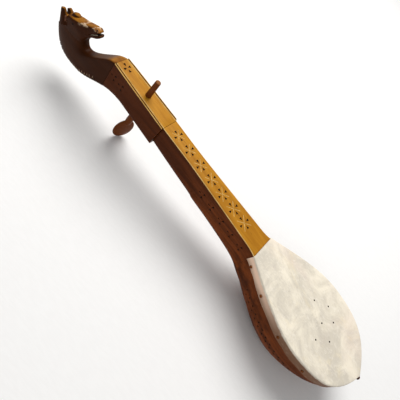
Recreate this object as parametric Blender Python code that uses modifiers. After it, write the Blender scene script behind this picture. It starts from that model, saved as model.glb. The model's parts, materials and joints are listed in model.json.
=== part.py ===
"""Carved one-string fiddle with a horse-head finial, lying on its back on the floor.

Instrument frame while modelling: X across, Y toward the head, Z out of the front face, in
millimetres; Z = 0 is the front face and Y = 0 the top edge of the skin. At the end every piece
is tilted about X and lifted so that the bowl's back and the peg's paddle both touch Z = 0.
"""

import math

import bmesh
import bpy
from mathutils import Matrix, Vector

MM = 0.001
GAP = 0.3  # between pieces that meet

# Bowl outline, half of it: two curves from the neck to the widest point and on to the tail
NECK_END_HALF = 24.6
BOWL_HALF = 72.4
BOWL_WIDEST_Y = -140.0
TAIL_Y = -247.0
SHOULDER_PULLS = ((47.5, -50.0), (BOWL_HALF, -95.0))
TAIL_PULLS = ((BOWL_HALF, -197.0), (58.5, -226.5))
# Depth of the bowl's back below the front face
NECK_END_DEPTH = 55.5
BOWL_DEPTH = 86.0
BOWL_DEEPEST_Y = -123.0
TAIL_DEPTH = 9.5
BACK_PULLS = ((-34.0, 61.0), (-80.0, BOWL_DEPTH))
STERN_PULLS = ((-184.0, BOWL_DEPTH), (-218.0, 26.0))
BOWL_SQUARENESS = ((0.0, 8.0), (-22.0, 4.4), (-60.0, 3.2), (-150.0, 2.7), (-248.0, 2.2))
RIM_BAND = 20.0
BAND_SHARE = 0.62  # of the depth, where the bowl is shallow
WALL = 7.5
CAVITY_TOP_Y, CAVITY_TAIL_Y = -30.0, -229.0
CAVITY_STEPS = 14
CAVITY_UPRIGHT = 0.8  # of the bowl's own upright strip
SEAT_HALF = 1.0  # the bowl's last section before the tail is wider than this

# Skin
SKIN_THICK = 1.2
SKIRT_THICK = 1.0
SKIRT_CLEAR = 0.4  # the skirt ends this far above the foot of the upright strip
SKIRT = ((0.0, 14.5), (-50.0, 17.5), (-110.0, 16.8), (-247.0, 17.5))
FOLD = 1.8
SKIN_EDGE_LEAN = 9.5  # degrees that the cut edge at the neck leans
RUN_ON = (4.0, 12.0)  # inward and headward, past the neck edge, before that edge is cut
HOLES = ((18.9, -116.7), (35.2, -142.2), (23.1, -164.0), (-7.5, -174.5), (-26.9, -153.3), (3.0, -147.8))
HOLE_RADIUS = 1.3
PIN_Y = (-11.0, -51.0, -108.5, -168.0)
PIN_Z = -11.2
PIN_HEAD, PIN_SHANK, PIN_LONG = 2.4, 1.3, 3.8
BUTTON_Z = -5.0
BUTTON_SHANK, BUTTON_HOLE = 2.0, 2.4

# Neck: (Y, half width, depth)
NECK = (
    (0.0, 24.6, 55.5), (14.0, 21.6, 53.0), (40.0, 20.3, 50.0), (85.0, 18.2, 48.4),
    (122.0, 16.6, 48.6), (132.0, 16.2, 46.6), (165.0, 15.1, 45.6), (205.0, 14.9, 42.6),
    (229.2, 15.0, 40.0),
)
CORNER = 9.0  # how square the neck and block sections are
OVERRUN = 1.0  # how far a cutter runs past the wood it opens
UPRIGHT = 2.0
TENON_HALF, TENON_LONG = 8.0, 20.0
NECK_TENON_Z = (-40.0, -18.0)
BLOCK_TENON_Z = (-28.0, -10.0)

# Head block: (Y, half width, depth)
BLOCK = (
    (229.5, 18.4, 47.5), (298.0, 16.6, 46.0), (312.0, 16.2, 46.5), (323.0, 15.8, 48.5),
    (335.0, 15.2, 52.5), (345.7, 14.6, 58.0),
)
PEG_Y = 282.4
PEG_STUB, PEG_BACK = 34.0, -76.0
PEG_FRONT_RADIUS, PEG_BACK_RADIUS = 4.4, 5.8
PADDLE_Z, PADDLE_HALF, PADDLE_WIDE, PADDLE_THICK = -97.0, 25.5, 16.5, 4.2
PADDLE_TURN = -29.0
PEG_CLEAR = 0.4  # between the peg and its hole
STUB_EDGE = 0.8  # the rounded edge of the peg's front end
HOLE_BACK, HOLE_FRONT = -50.0, 5.0
CUT_CORNER, CUT_CORNER_OUT = 3.2, 0.8  # the chamfered corner of the block, at its foot

# Carved motifs
MOTIF_PITCH, MOTIF_FIRST, MOTIFS = 27.1, 208.5, 7
NECK_TREFOILS = (118.0, 95.0, 69.5, 45.5, 21.5)
BLOCK_TREFOILS = (336.0, 318.0)
TREFOIL_Z = -19.5
BORDERS = (2.0, 4.8)
CHIP, SMALL_CHIP = 3.9, 2.6
BOWL_CHIPS, BOWL_CHIP_PITCH = 12, 11.5
BOWL_CHIP_FIRST, BOWL_CHIP_ROW = (-38.0, -39.0), (5.5, 6.5)  # as (Y, Z) and steps down in both
CHIP_WIDE = 0.72  # of its length
ABOVE = 0.4  # how far a cutter's flat end stands clear of the wood

# Horse: neck stations as (front Y, Z, back Y, Z, half width), head stations the same way
CREST = (
    (346.0, 0.0, 346.0, -58.0, 14.6), (357.0, -7.0, 352.0, -61.5, 14.6),
    (369.0, -19.5, 361.0, -67.5, 14.6), (381.0, -33.0, 374.0, -76.5, 14.4),
    (392.0, -43.0, 391.0, -86.5, 14.0), (400.5, -47.5, 408.0, -91.5, 13.4),
    (406.5, -45.5, 426.0, -94.0, 12.8), (410.5, -38.0, 442.0, -91.5, 12.2),
    (413.0, -31.0, 453.0, -84.0, 11.6), (420.0, -27.0, 461.0, -72.5, 11.0),
    (431.0, -25.0, 468.0, -58.0, 9.8),
)
FACE = (
    (466.0, -50.0, 436.0, -66.0, 8.4), (460.5, -37.0, 424.0, -55.0, 10.4),
    (450.5, -24.5, 413.5, -41.0, 11.4), (439.5, -18.5, 410.5, -30.0, 11.4),
    (427.0, -12.0, 407.0, -23.0, 10.0), (415.0, -4.5, 401.5, -16.5, 8.6),
    (405.0, 1.0, 395.5, -11.5, 7.8), (398.8, 2.2, 392.0, -7.0, 6.6),
    (396.2, 1.0, 391.2, -4.0, 4.4),
)
CREST_SQUARE = (9.0, 8.0, 7.0, 6.0, 4.6, 3.6, 3.0, 2.8, 2.7, 2.6, 2.4)
EARS = (((-6.8, 452.5, -44.5), (-6.8, 465.8, -24.4)), ((5.0, 451.0, -42.0), (5.0, 464.6, -28.4)))
EAR_SIZE, EAR_HOLLOW = (6.6, 9.6), (3.8, 2.6)
EAR_FRONT = (0.0, -0.70, 0.71)
FORELOCK, FORELOCK_SIZE = (0.5, 444.5, -20.0), (5.6, 7.6, 4.2)
FORELOCK_TURN = -30.0
NOSTRIL, NOSTRIL_SIZE = (4.6, 402.0, 1.6), (1.2, 2.0, 1.4)
FACE_SQUARE = 2.7
MOUTH_CORNER, MOUTH_LIPS = (409.0, -17.0), (395.0, -1.9)
MOUTH_LONG, MOUTH_HALF_ANGLE = 30.0, 4.6
NOTCHES = 17

WOOD = (0.30, 0.13, 0.045, 1.0)
DARK = (0.16, 0.05, 0.022, 1.0)
HIDE = (0.80, 0.73, 0.60, 1.0)


def start():
    for obj in list(bpy.data.objects):
        bpy.data.objects.remove(obj)
    found = []
    for name in ("carved_fiddle", "cutters"):
        collection = bpy.data.collections.new(name)
        bpy.context.scene.collection.children.link(collection)
        found.append(collection)
    return found


PARTS, CUTTERS = start()


def paint(name, colour, rough):
    material = bpy.data.materials.new(name)
    material.use_nodes = True
    shader = material.node_tree.nodes["Principled BSDF"]
    shader.inputs["Base Color"].default_value = colour
    shader.inputs["Roughness"].default_value = rough
    return material


def put(name, bm, at=(0, 0, 0), turn=None, colour=WOOD, rough=0.4, cutter=False):
    """A bmesh in millimetres as an object in metres, its origin at `at` and turned by `turn`."""
    place = Matrix.Translation(at) @ (turn or Matrix())
    bmesh.ops.transform(bm, matrix=Matrix.Scale(MM, 4), verts=bm.verts)
    bmesh.ops.recalc_face_normals(bm, faces=bm.faces)
    mesh = bpy.data.meshes.new(name)
    bm.to_mesh(mesh)
    bm.free()
    obj = bpy.data.objects.new(name, mesh)
    obj.rotation_mode = "QUATERNION"
    obj.rotation_quaternion = place.to_quaternion()
    obj.location = place.translation * MM
    (CUTTERS if cutter else PARTS).objects.link(obj)
    if cutter:
        obj.hide_render = True
        obj.display_type = "WIRE"
    else:
        obj.data.materials.append(paint(name, colour, rough))
    return obj


def boolean(obj, other, operation="DIFFERENCE", crossing=False):
    modifier = obj.modifiers.new(other.name, "BOOLEAN")
    modifier.operation = operation
    modifier.solver = "EXACT"
    modifier.use_self = crossing
    modifier.object = other


def bezier(a, b, c, d, count):
    found = []
    for i in range(count):
        t = i / (count - 1)
        u = 1 - t
        found.append(tuple(
            u ** 3 * p + 3 * u * u * t * q + 3 * u * t * t * r + t ** 3 * s
            for p, q, r, s in zip(a, b, c, d)
        ))
    return found


def value(table, y):
    """Straight-line reading of a table of (y, value, ...), whichever way it runs."""
    rows = sorted(row[:2] for row in table)
    if y <= rows[0][0]:
        return rows[0][1]
    for (y0, v0), (y1, v1) in zip(rows, rows[1:]):
        if y <= y1:
            return v0 + (v1 - v0) * (y - y0) / (y1 - y0)
    return rows[-1][1]


def outline(count):
    """(Y, half width) of the bowl's rim from the neck to the tail."""
    widest = (BOWL_HALF, BOWL_WIDEST_Y)
    first = bezier((NECK_END_HALF, 0.0), *SHOULDER_PULLS, widest, count)
    last = bezier(widest, *TAIL_PULLS, (0.0, TAIL_Y), count + 4)
    return [(y, w) for w, y in first[:-1] + last]


RIM = outline(15)


def back_line():
    deepest = (BOWL_DEEPEST_Y, BOWL_DEPTH)
    first = bezier((0.0, NECK_END_DEPTH), *BACK_PULLS, deepest, 24)
    last = bezier(deepest, *STERN_PULLS, (TAIL_Y, TAIL_DEPTH), 40)
    return first[:-1] + last


BACK_LINE = back_line()


def depth(y):
    return value(BACK_LINE, y)


def band(y):
    """Height of the upright strip under the rim, which the skirt covers."""
    return min(RIM_BAND, BAND_SHARE * depth(y))


def ring(y, half, deep, power, upright, count, top=0.0):
    """A section: straight down the side for `upright`, then round under the back."""
    points = [(half, y, top)]
    for i in range(count + 1):
        t = math.pi * i / count
        c, s = math.cos(t), math.sin(t)
        x = math.copysign(abs(c) ** (2 / power), c) * half
        points.append((x, y, -upright - (deep - upright) * abs(s) ** (2 / power)))
    points.append((-half, y, top))
    return points


def loft(rings):
    """Closed body through rings of the same count, capped at both ends."""
    bm = bmesh.new()
    rows = [[bm.verts.new(point) for point in points] for points in rings]
    for a, b in zip(rows, rows[1:]):
        for i in range(len(a)):
            j = (i + 1) % len(a)
            bm.faces.new((a[i], a[j], b[j], b[i]))
    bm.faces.new(rows[0])
    bm.faces.new(list(reversed(rows[-1])))
    return bm


def box(x0, x1, y0, y1, z0, z1):
    bm = bmesh.new()
    bmesh.ops.create_cube(bm, size=1.0)
    for v in bm.verts:
        v.co = Vector((
            x1 if v.co.x > 0 else x0, y1 if v.co.y > 0 else y0, z1 if v.co.z > 0 else z0,
        ))
    return bm


def rod(radius0, radius1, begin, end, count=24):
    """A round bar or cone from one point to another."""
    a, b = Vector(begin), Vector(end)
    bm = bmesh.new()
    bmesh.ops.create_cone(
        bm, cap_ends=True, segments=count, radius1=radius0, radius2=radius1,
        depth=(b - a).length,
    )
    turn = (b - a).to_track_quat("Z", "Y").to_matrix().to_4x4()
    bmesh.ops.transform(bm, matrix=Matrix.Translation((a + b) / 2) @ turn, verts=bm.verts)
    return bm


def ball(centre, radii, turn, u, v):
    bm = bmesh.new()
    bmesh.ops.create_uvsphere(bm, u_segments=u, v_segments=v, radius=1.0)
    matrix = Matrix.Translation(centre) @ turn @ Matrix.Diagonal((*radii, 1.0))
    bmesh.ops.transform(bm, matrix=matrix, verts=bm.verts)
    return bm


def columns(x, y, z, origin):
    """The placing matrix with these axes."""
    return Matrix((
        (x[0], y[0], z[0], origin[0]), (x[1], y[1], z[1], origin[1]),
        (x[2], y[2], z[2], origin[2]), (0, 0, 0, 1),
    ))


def leaf_cone(base, tip, front, wide, thick):
    """A flattened cone from a base to a tip, its flat side toward `front`."""
    a, b = Vector(base), Vector(tip)
    up = (b - a).normalized()
    side = Vector(front).cross(up).normalized()
    bm = bmesh.new()
    bmesh.ops.create_cone(bm, cap_ends=True, segments=16, radius1=1.0, radius2=0.3, depth=1.0)
    matrix = columns(side * wide, up.cross(side) * thick, b - a, (a + b) / 2)
    bmesh.ops.transform(bm, matrix=matrix, verts=bm.verts)
    return bm


def turned(name, profile, count, at=(0, 0, 0), turn=None):
    """A turned shape from its (radius, height) profile, about its own Z."""
    bm = bmesh.new()
    verts = [bm.verts.new((r, 0, h)) for r, h in profile]
    for pair in zip(verts, verts[1:]):
        bm.edges.new(pair)
    obj = put(name, bm, at, turn, DARK)
    screw = obj.modifiers.new("turn", "SCREW")
    screw.axis = "Z"
    screw.steps = count
    screw.render_steps = count
    screw.use_merge_vertices = True
    screw.merge_threshold = 1e-5
    screw.use_normal_flip = True
    return obj


def gather(name, pieces):
    """Several small closed shapes as one cutter."""
    whole = bmesh.new()
    for piece in pieces:
        mesh = bpy.data.meshes.new("part")
        piece.to_mesh(mesh)
        piece.free()
        whole.from_mesh(mesh)
        bpy.data.meshes.remove(mesh)
    return put(name, whole, cutter=True)


def chip(centre, out, point, size=CHIP, deep=1.5):
    """A three-sided pit: `out` is the surface's normal, `point` the way its long corner aims."""
    out, point = Vector(out).normalized(), Vector(point).normalized()
    bm = bmesh.new()
    bmesh.ops.create_cone(bm, cap_ends=True, segments=3, radius1=1.0, radius2=0.0, depth=1.0)
    middle = Vector(centre) + out * (ABOVE - deep) / 2
    side = out.cross(point) * size * CHIP_WIDE
    matrix = columns(side, point * size, -out * (deep + ABOVE), middle)
    bmesh.ops.transform(bm, matrix=matrix, verts=bm.verts)
    return bm


def blade(a, b, inward, deep, above, half):
    """A three-sided bar along a line: its edge `deep` below the line, its flat back above it."""
    a, b, inward = Vector(a), Vector(b), Vector(inward).normalized()
    bm = bmesh.new()
    bmesh.ops.create_cone(bm, cap_ends=True, segments=3, radius1=1.0, radius2=1.0, depth=1.0)
    radius = (deep + above) / 1.5
    side = inward.cross((b - a).normalized()) * half / math.cos(math.radians(30))
    matrix = columns(side, inward * radius, b - a, (a + b) / 2 + inward * (deep - radius))
    bmesh.ops.transform(bm, matrix=matrix, verts=bm.verts)
    return bm


def groove(a, b, half=0.8, deep=0.6):
    """A V-shaped line cut in the front face."""
    return blade(a, b, (0, 0, -1), deep, ABOVE, half * (deep + ABOVE) / deep)


def make_bowl():
    rings = [
        ring(y, w, depth(y), value(BOWL_SQUARENESS, y), band(y), 22) for y, w in RIM if w > SEAT_HALF
    ]
    bowl = put("bowl", loft(rings))
    inside = []
    for i in range(CAVITY_STEPS + 1):
        y = CAVITY_TOP_Y + (CAVITY_TAIL_Y - CAVITY_TOP_Y) * i / CAVITY_STEPS
        half, deep = value(RIM, y) - WALL, depth(y) - WALL
        upright = band(y) * CAVITY_UPRIGHT
        inside.append(ring(y, half, deep, value(BOWL_SQUARENESS, y), upright, 16, top=2.0))
    boolean(bowl, put("bowl_cavity", loft(inside), cutter=True))
    grip = TENON_HALF + GAP
    low, high = NECK_TENON_Z
    boolean(bowl, put(
        "bowl_mortise", box(-grip, grip, -TENON_LONG - GAP, OVERRUN, low - GAP, high + GAP), cutter=True,
    ))
    pits = [rod(BUTTON_HOLE, BUTTON_HOLE, (0, TAIL_Y + 9.7, BUTTON_Z), (0, TAIL_Y - 2, BUTTON_Z), 12)]
    (chip_y, chip_z), (down_y, down_z) = BOWL_CHIP_FIRST, BOWL_CHIP_ROW
    for side in (-1, 1):
        for row in range(2):
            for i in range(BOWL_CHIPS):
                y = chip_y - i * BOWL_CHIP_PITCH - row * down_y
                pits.append(bowl_chip(side, y, chip_z - row * down_z))
        for y in PIN_Y:
            seat, away = pin_place(side, y)
            pits.append(rod(PIN_SHANK + GAP, PIN_SHANK + GAP, seat - away * 4, seat + away * 4, 12))
    boolean(bowl, gather("bowl_pits", pits))


def bowl_chip(side, y, z):
    """A small chip where the bowl's side is at this height."""
    power, up = value(BOWL_SQUARENESS, y), band(y)
    share = min((-z - up) / (depth(y) - up), 1.0)
    x = side * value(RIM, y) * (1 - share ** power) ** (1 / power)
    lean = value(RIM, y + 1) - value(RIM, y - 1)
    return chip((x, y, z), (side, -lean / 2, -0.12), (0, 1, 0), SMALL_CHIP)


def pin_place(side, y):
    """Where a skin pin crosses the rim's side, and the way it points out."""
    lean = (value(RIM, y + 2) - value(RIM, y - 2)) / 4
    return Vector((side * value(RIM, y), y, PIN_Z)), Vector((side, -lean, 0)).normalized()


def rim_loop(offset):
    """The rim, both sides, run on past the neck edge, moved outward by `offset`."""
    half = [(w, y) for y, w in outline(13)]
    right = [(half[0][0] - RUN_ON[0], RUN_ON[1])] + half
    loop = right + [(-w, y) for w, y in reversed(right[:-1])]
    moved = []
    count = len(loop)
    for i, (x, y) in enumerate(loop):
        if i in (0, count - 1):
            moved.append((x + math.copysign(offset, x), y))
            continue
        before, after = loop[i - 1], loop[i + 1]
        along = Vector((after[0] - before[0], after[1] - before[1])).normalized()
        moved.append((x - along.y * offset, y + along.x * offset))
    return moved


def make_skin():
    high = GAP + SKIN_THICK
    out = GAP + SKIRT_THICK
    steps = (
        (out - FOLD, high), (out - 0.5 * FOLD, high - 0.15 * FOLD),
        (out - 0.15 * FOLD, high - 0.5 * FOLD), (out, high - FOLD), (out, None),
        (GAP, None), (GAP, GAP),
    )
    rings = []
    for offset, z in steps:
        row = []
        for x, y in rim_loop(offset):
            edge = -min(value(SKIRT, y), band(min(y, 0.0)) - SKIRT_CLEAR)
            row.append((x, y, edge if z is None else z))
        rings.append(row)
    skin = put("skin", loft(rings), colour=HIDE, rough=0.6)
    turn = Matrix.Rotation(math.radians(SKIN_EDGE_LEAN), 4, "X")
    trim = put("skin_trim", box(-60.0, 60.0, 0.0, 40.0, -30.0, 6.0), turn=turn, cutter=True)
    boolean(skin, trim)
    pits = [rod(HOLE_RADIUS, HOLE_RADIUS, (x, y, -2.0), (x, y, 4.0), 10) for x, y in HOLES]
    pits.append(rod(BUTTON_HOLE, BUTTON_HOLE, (0, TAIL_Y + 5, BUTTON_Z), (0, TAIL_Y - 6, BUTTON_Z), 12))
    for side in (-1, 1):
        for y in PIN_Y:
            seat, away = pin_place(side, y)
            pits.append(rod(PIN_SHANK + GAP, PIN_SHANK + GAP, seat - away * 3, seat + away * 5, 12))
    boolean(skin, gather("skin_holes", pits))


def make_pins():
    profile = (
        (0.0, -PIN_LONG), (PIN_SHANK, -PIN_LONG), (PIN_SHANK, 0.0), (PIN_HEAD, 0.0),
        (PIN_HEAD, 0.5), (PIN_HEAD * 0.75, 1.2), (0.0, 1.5),
    )
    for side, word in ((-1, "left"), (1, "right")):
        for i, y in enumerate(PIN_Y):
            seat, away = pin_place(side, y)
            turn = away.to_track_quat("Z", "Y").to_matrix().to_4x4()
            turned(f"pin_{word}_{i + 1}", profile, 12, seat + away * (2 * GAP + SKIN_THICK), turn)


def make_neck():
    neck = put("neck", loft([ring(y, half, deep, CORNER, UPRIGHT, 14) for y, half, deep in NECK]))
    top = NECK[-1][0]
    boolean(neck, put(
        "neck_tenon_low", box(-TENON_HALF, TENON_HALF, -TENON_LONG, 3.0, *NECK_TENON_Z), cutter=True,
    ), "UNION")
    boolean(neck, put(
        "neck_tenon_high", box(-TENON_HALF, TENON_HALF, top - 3.0, top + TENON_LONG, *BLOCK_TENON_Z),
        cutter=True,
    ), "UNION")
    pits = []
    for k in range(MOTIFS):
        y, across, along = MOTIF_FIRST - MOTIF_PITCH * k, 6.6 + 0.35 * k, 7.4 + 0.25 * k
        pits += [
            groove((-across, y - along * 1.1, 0), (across, y + along * 1.1, 0)),
            groove((-across, y + along * 1.1, 0), (across, y - along * 1.1, 0), deep=0.5),
        ]
        pits += four_chips(y, across, along)
    for y in NECK_TREFOILS:
        for side in (-1, 1):
            pits += trefoil(side * value(NECK, y), y, side)
    boolean(neck, gather("neck_pits", pits), crossing=True)


def four_chips(y, across, along):
    """Chips in the four corners of a crossing, each aimed at the middle."""
    return [
        chip((dx * across * 1.02, y + dy * along * 0.95, 0), (0, 0, 1), (-dx, -dy, 0))
        for dx, dy in ((1, 0), (-1, 0), (0, 1), (0, -1))
    ]


def trefoil(x, y, side):
    """Three chips on a side face."""
    return [
        chip((x, y + dy, TREFOIL_Z + dz), (side, 0, 0), (0, -dy, -dz), SMALL_CHIP)
        for dy, dz in ((5.0, 0.6), (-2.6, 4.6), (-2.6, -4.0))
    ]


def make_block():
    base, crown = BLOCK[0], BLOCK[-1]
    rings = [ring(y - base[0], half, deep, CORNER, UPRIGHT, 14) for y, half, deep in BLOCK]
    block = put("peg_block", loft(rings), (0, base[0], 0))
    grip = TENON_HALF + GAP
    low, high = BLOCK_TENON_Z
    boolean(block, put(
        "block_mortise",
        box(-grip, grip, base[0] - OVERRUN, base[0] + TENON_LONG + GAP, low - GAP, high + GAP), cutter=True,
    ))
    low, high = NECK_TENON_Z
    boolean(block, put(
        "head_mortise",
        box(-grip, grip, crown[0] - TENON_LONG - GAP, crown[0] + OVERRUN, low - GAP, high + GAP), cutter=True,
    ))
    hole = rod(
        peg_radius(HOLE_BACK) + PEG_CLEAR, peg_radius(HOLE_FRONT) + PEG_CLEAR,
        (0, 0, HOLE_BACK), (0, 0, HOLE_FRONT),
    )
    boolean(block, put("peg_hole", hole, (0, PEG_Y, 0), cutter=True))
    pits = []
    for inset in BORDERS:
        for side in (-1, 1):
            pits.append(groove(
                (side * (base[1] - inset), base[0] - OVERRUN, 0),
                (side * (crown[1] - inset), crown[0] + OVERRUN, 0),
            ))
    pits += four_chips(333.0, 4.6, 6.6)
    for y in BLOCK_TREFOILS:
        for side in (-1, 1):
            pits += trefoil(side * value(BLOCK, y), y, side)
    boolean(block, gather("block_pits", pits), crossing=True)
    turn = Matrix.Rotation(math.radians(45), 4, "Z")
    corner = box(-CUT_CORNER, CUT_CORNER, -CUT_CORNER, CUT_CORNER, -60.0, 5.0)
    at = (base[1] + CUT_CORNER_OUT, base[0] - CUT_CORNER_OUT, 0)
    boolean(block, put("block_corner", corner, at, turn, cutter=True))


def slanted(front_y, front_z, back_y, back_z, half, power, count=20):
    """A section between a front point and a back point of the side view."""
    a, b = Vector((0, front_y, front_z)), Vector((0, back_y, back_z))
    middle, reach = (a + b) / 2, (a - b) / 2
    points = []
    for i in range(count):
        t = 2 * math.pi * i / count
        c, s = math.cos(t), math.sin(t)
        x = math.copysign(abs(s) ** (2 / power), s) * half
        points.append(tuple(middle + reach * math.copysign(abs(c) ** (2 / power), c) + Vector((x, 0, 0))))
    return points


def make_head():
    rings = [slanted(*row, power, 24) for row, power in zip(CREST, CREST_SQUARE)]
    head = put("horse_head", loft(rings))
    face = put("head_face", loft([slanted(*row, FACE_SQUARE) for row in FACE]), cutter=True)
    boolean(head, face, "UNION")
    front = Vector(EAR_FRONT)
    for (base, tip), word in zip(EARS, ("left", "right")):
        ear = leaf_cone(base, tip, front, *EAR_SIZE)
        boolean(head, put(f"ear_{word}", ear, cutter=True), "UNION")
        a, b = Vector(base) + front * 7.0, Vector(tip) + front * 0.8
        hollow = leaf_cone(a.lerp(b, 0.3), a.lerp(b, 0.9), front, *EAR_HOLLOW)
        boolean(head, put(f"ear_hollow_{word}", hollow, cutter=True))
    tilt = Matrix.Rotation(math.radians(FORELOCK_TURN), 4, "X")
    forelock = ball(FORELOCK, FORELOCK_SIZE, tilt, 12, 8)
    boolean(head, put("forelock", forelock, cutter=True), "UNION")
    for side, word in ((-1, "left"), (1, "right")):
        x, y, z = NOSTRIL
        nostril = ball((side * x, y, z), NOSTRIL_SIZE, Matrix(), 10, 6)
        boolean(head, put(f"nostril_{word}", nostril, cutter=True))
    boolean(head, gather("head_cuts", [mouth()] + notches()))
    foot = CREST[0][0]
    tenon = box(-TENON_HALF, TENON_HALF, foot - TENON_LONG, foot + 4.0, *NECK_TENON_Z)
    boolean(head, put("head_tenon", tenon, cutter=True), "UNION")


def mouth():
    """The open mouth: a blade across the head with its edge in the mouth's corner."""
    corner, lips = Vector((0, *MOUTH_CORNER)), Vector((0, *MOUTH_LIPS))
    across = Vector((14.0, 0, 0))
    half = MOUTH_LONG * math.tan(math.radians(MOUTH_HALF_ANGLE))
    return blade(corner - across, corner + across, corner - lips, 0.0, MOUTH_LONG, half)


def notches():
    """V cuts across the mane, square to the back line."""
    line = [Vector((0, row[2], row[3])) for row in CREST[2:10]]
    lengths = [0.0]
    for a, b in zip(line, line[1:]):
        lengths.append(lengths[-1] + (b - a).length)
    across = Vector((11.0, 0, 0))
    found = []
    for k in range(NOTCHES):
        s = lengths[-1] * (k + 0.5) / NOTCHES
        i = max(j for j in range(len(line) - 1) if lengths[j] <= s)
        along = (line[i + 1] - line[i]).normalized()
        point = line[i] + along * (s - lengths[i])
        inward = Vector((0, -along.z, along.y)) - along * 0.3
        found.append(blade(point - across, point + across, inward, 1.9, 1.5, 2.2))
    return found


def peg_radius(z):
    """The peg's radius at a height: it tapers toward the front."""
    return value(((PEG_BACK, PEG_BACK_RADIUS), (PEG_STUB, PEG_FRONT_RADIUS)), z)


def make_peg():
    profile = (
        (0.0, PEG_BACK), (PEG_BACK_RADIUS, PEG_BACK), (PEG_FRONT_RADIUS, PEG_STUB - STUB_EDGE),
        (PEG_FRONT_RADIUS - STUB_EDGE, PEG_STUB), (0.0, PEG_STUB),
    )
    at = (0, PEG_Y, 0)
    peg = turned("tuning_peg", profile, 24, at)
    turn = Matrix.Rotation(math.radians(PADDLE_TURN), 4, "Z")
    leaf = ball((0, 0, PADDLE_Z), (PADDLE_WIDE, PADDLE_THICK, PADDLE_HALF), Matrix(), 24, 16)
    boolean(peg, put("peg_paddle", leaf, at, turn, cutter=True), "UNION")


def make_button():
    profile = (
        (0.0, -9.0), (BUTTON_SHANK, -9.0), (BUTTON_SHANK, 0.0), (2.8, 0.0), (3.4, 1.0),
        (3.4, 2.4), (2.4, 3.4), (0.0, 3.8),
    )
    turn = Matrix.Rotation(math.radians(90), 4, "X")
    turned("tail_button", profile, 16, (0, TAIL_Y - GAP - 2.0, BUTTON_Z), turn)


def points_of(objects):
    graph = bpy.context.evaluated_depsgraph_get()
    found = []
    for obj in objects:
        mesh = obj.evaluated_get(graph).to_mesh()
        matrix = obj.matrix_world
        found += [matrix @ v.co for v in mesh.vertices]
        obj.evaluated_get(graph).to_mesh_clear()
    return found


def rest():
    """Tilt everything so the bowl's back and the paddle share the floor, and centre it."""
    bpy.context.view_layer.update()
    body = points_of([bpy.data.objects["bowl"]])
    paddle = points_of([bpy.data.objects["tuning_peg"]])

    def low(points, angle):
        return min(p.y * math.sin(angle) + p.z * math.cos(angle) for p in points)

    a, b = 0.0, math.radians(12)
    for _ in range(40):
        angle = (a + b) / 2
        if low(paddle, angle) < low(body, angle):
            a = angle
        else:
            b = angle
    tilt = Matrix.Rotation(angle, 4, "X")
    everything = [tilt @ p for p in points_of(PARTS.objects)]
    middle = (min(p.y for p in everything) + max(p.y for p in everything)) / 2
    floor = min(p.z for p in everything)
    across = (min(p.x for p in everything) + max(p.x for p in everything)) / 2
    place = Matrix.Translation((-across, -middle, -floor)) @ tilt
    for obj in list(PARTS.objects) + list(CUTTERS.objects):
        obj.matrix_world = place @ obj.matrix_world


make_bowl()
make_skin()
make_pins()
make_neck()
make_block()
make_head()
make_peg()
make_button()
rest()
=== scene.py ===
"""Looks of the carved one-string fiddle: finely cut wood, rawhide belly, pins and peg."""

import json
import math

import bmesh
import bpy
from mathutils import Matrix, Vector, noise


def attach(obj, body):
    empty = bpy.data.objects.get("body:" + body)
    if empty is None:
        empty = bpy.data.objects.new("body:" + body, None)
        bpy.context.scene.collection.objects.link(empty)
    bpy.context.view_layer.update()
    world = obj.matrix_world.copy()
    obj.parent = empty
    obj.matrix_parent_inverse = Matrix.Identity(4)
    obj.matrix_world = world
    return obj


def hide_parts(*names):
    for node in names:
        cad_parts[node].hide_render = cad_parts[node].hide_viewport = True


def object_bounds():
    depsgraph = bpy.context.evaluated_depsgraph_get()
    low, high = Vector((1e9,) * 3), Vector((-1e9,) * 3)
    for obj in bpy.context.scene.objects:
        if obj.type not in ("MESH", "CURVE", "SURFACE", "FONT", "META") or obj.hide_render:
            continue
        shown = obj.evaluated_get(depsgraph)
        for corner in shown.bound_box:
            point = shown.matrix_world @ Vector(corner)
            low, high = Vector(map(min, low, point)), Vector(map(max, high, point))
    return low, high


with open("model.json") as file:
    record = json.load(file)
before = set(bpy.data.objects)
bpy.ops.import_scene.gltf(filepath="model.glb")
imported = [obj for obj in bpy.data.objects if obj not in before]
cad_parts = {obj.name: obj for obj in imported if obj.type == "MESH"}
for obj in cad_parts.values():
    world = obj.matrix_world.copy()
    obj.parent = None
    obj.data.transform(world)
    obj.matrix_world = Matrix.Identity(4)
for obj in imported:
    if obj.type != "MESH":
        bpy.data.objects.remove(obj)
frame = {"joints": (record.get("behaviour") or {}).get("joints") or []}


def box_of_all():
    return [list(corner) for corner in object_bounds()]


CAD_BOX = box_of_all()

# The instrument frame, in millimetres: X across, Y toward the head from the skin's top edge,
# Z out of the front face. PLACE puts it in the row frame.
MM = 0.001
GAP = 0.3
PEG = frame["joints"][0]
PEG_Y = 282.4
TILT = Vector((0, 0, 1)).rotation_difference(Vector(PEG["axis"])).to_matrix().to_4x4()
PLACE = (
    Matrix.Translation(PEG["pos_m"]) @ TILT @ Matrix.Translation((0, -PEG_Y * MM, 0))
    @ Matrix.Diagonal((MM, MM, MM, 1.0))
)

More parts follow.
